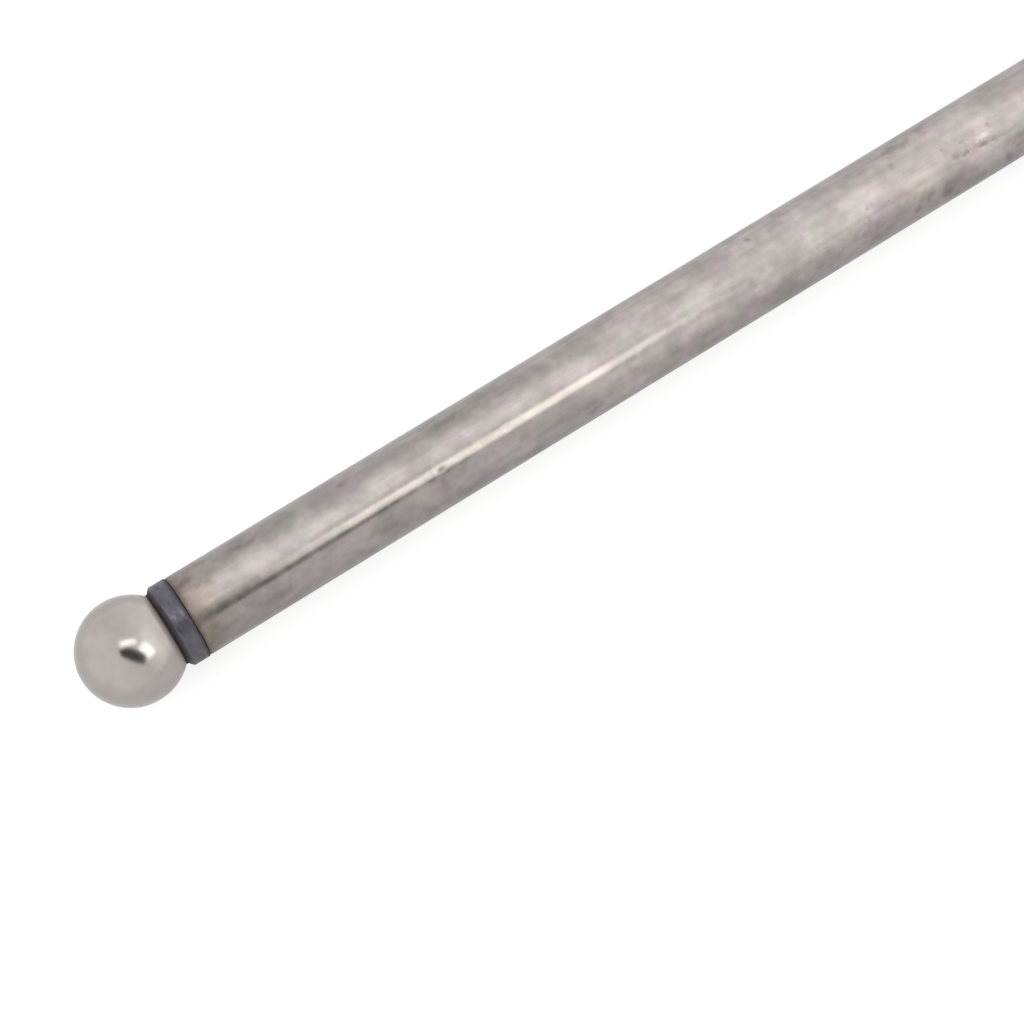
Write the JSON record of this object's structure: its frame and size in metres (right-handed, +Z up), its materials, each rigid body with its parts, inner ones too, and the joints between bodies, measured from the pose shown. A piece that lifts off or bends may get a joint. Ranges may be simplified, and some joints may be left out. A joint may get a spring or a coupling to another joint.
{
  "type": "engine pushrod",
  "caption": "Straight tubular steel pushrod with a ball end for the tappet, a dark collar behind the ball, and a socketed cup end for the rocker arm.",
  "frame": {"origin": "the centre of the ball", "axes": "+X along the rod from the ball to the cup, +Z up with the rod lying level"},
  "size_m": [0.21, 0.01, 0.01],
  "materials": {
    "drawn_steel": "satin drawn steel, mottled, with a straw heat tint at its ends",
    "ball_steel": "ground and polished ball, blue-grey oxide on the collar",
    "cup_steel": "ground cup, blue-grey oxide on the collar"
  },
  "bodies": {
    "root": {"tube": "drawn_steel", "ball_end": "ball_steel", "cup_end": "cup_steel"}
  },
  "joints": []
}
